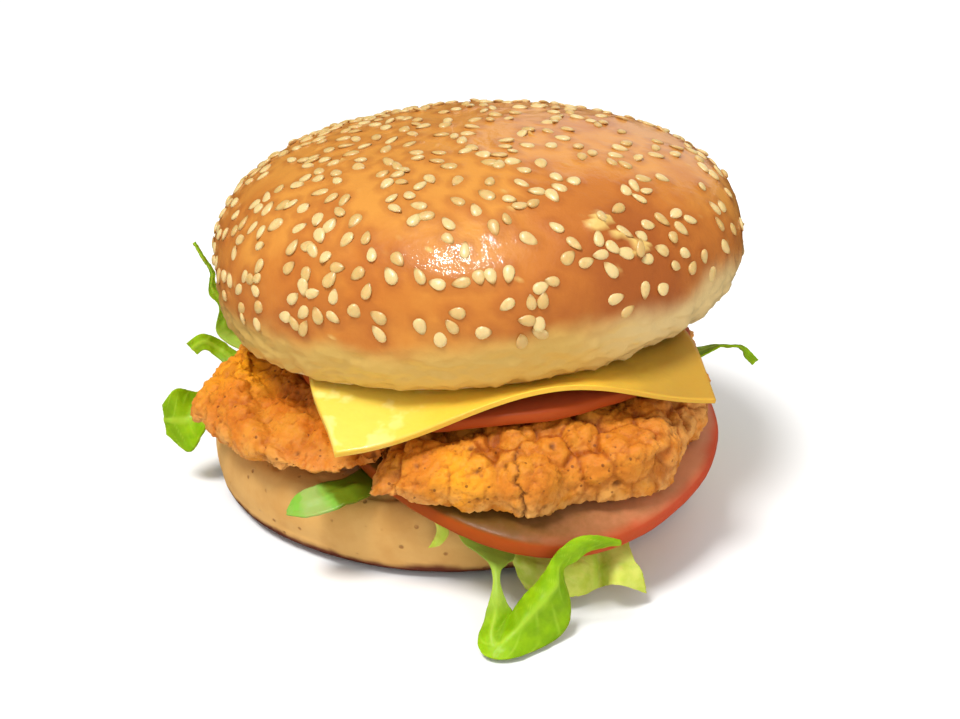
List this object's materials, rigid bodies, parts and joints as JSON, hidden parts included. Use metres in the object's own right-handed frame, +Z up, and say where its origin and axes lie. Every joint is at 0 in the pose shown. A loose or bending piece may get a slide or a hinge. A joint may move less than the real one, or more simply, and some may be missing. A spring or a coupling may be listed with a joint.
{
  "type": "fried chicken burger",
  "caption": "Fried chicken burger: a sesame bun with a domed crown over crisp chicken pieces, a cheese slice, tomato slices and lettuce leaves.",
  "frame": {"origin": "middle of the bun heel's flat base, where the burger rests", "axes": "+Z up, -Y towards the side on which the cheese and lettuce hang out, +X to the right of that side"},
  "size_m": [0.1347, 0.1345, 0.0782],
  "materials": {
    "bun_crust": "glazed golden-brown bread crust, paler towards the cut face",
    "bun_heel": "matte tan bread crust with a browner base edge",
    "fried_chicken": "rough orange-brown fried crust with dark specks",
    "cheese": "smooth soft yellow processed cheese",
    "tomato": "wet translucent tomato flesh with a redder skin at the rim",
    "lettuce": "fresh green leaf with pale veins",
    "lettuce_pale": "pale yellow-green leaf",
    "sesame": "cream sesame seed hull"
  },
  "bodies": {
    "root": {"bun_heel": "bun_heel", "bun_crown": "bun_crust", "tomato_lower": "tomato", "tomato_upper": "tomato", "chicken_right": "fried_chicken", "chicken_left": "fried_chicken", "cheese": "cheese", "lettuce_front": "lettuce", "lettuce_front_pale": "lettuce_pale", "lettuce_shred": "lettuce_pale", "lettuce_front_left": "lettuce", "lettuce_left": "lettuce", "lettuce_rear_left": "lettuce", "lettuce_rear_upright": "lettuce", "lettuce_right": "lettuce"}
  },
  "joints": []
}
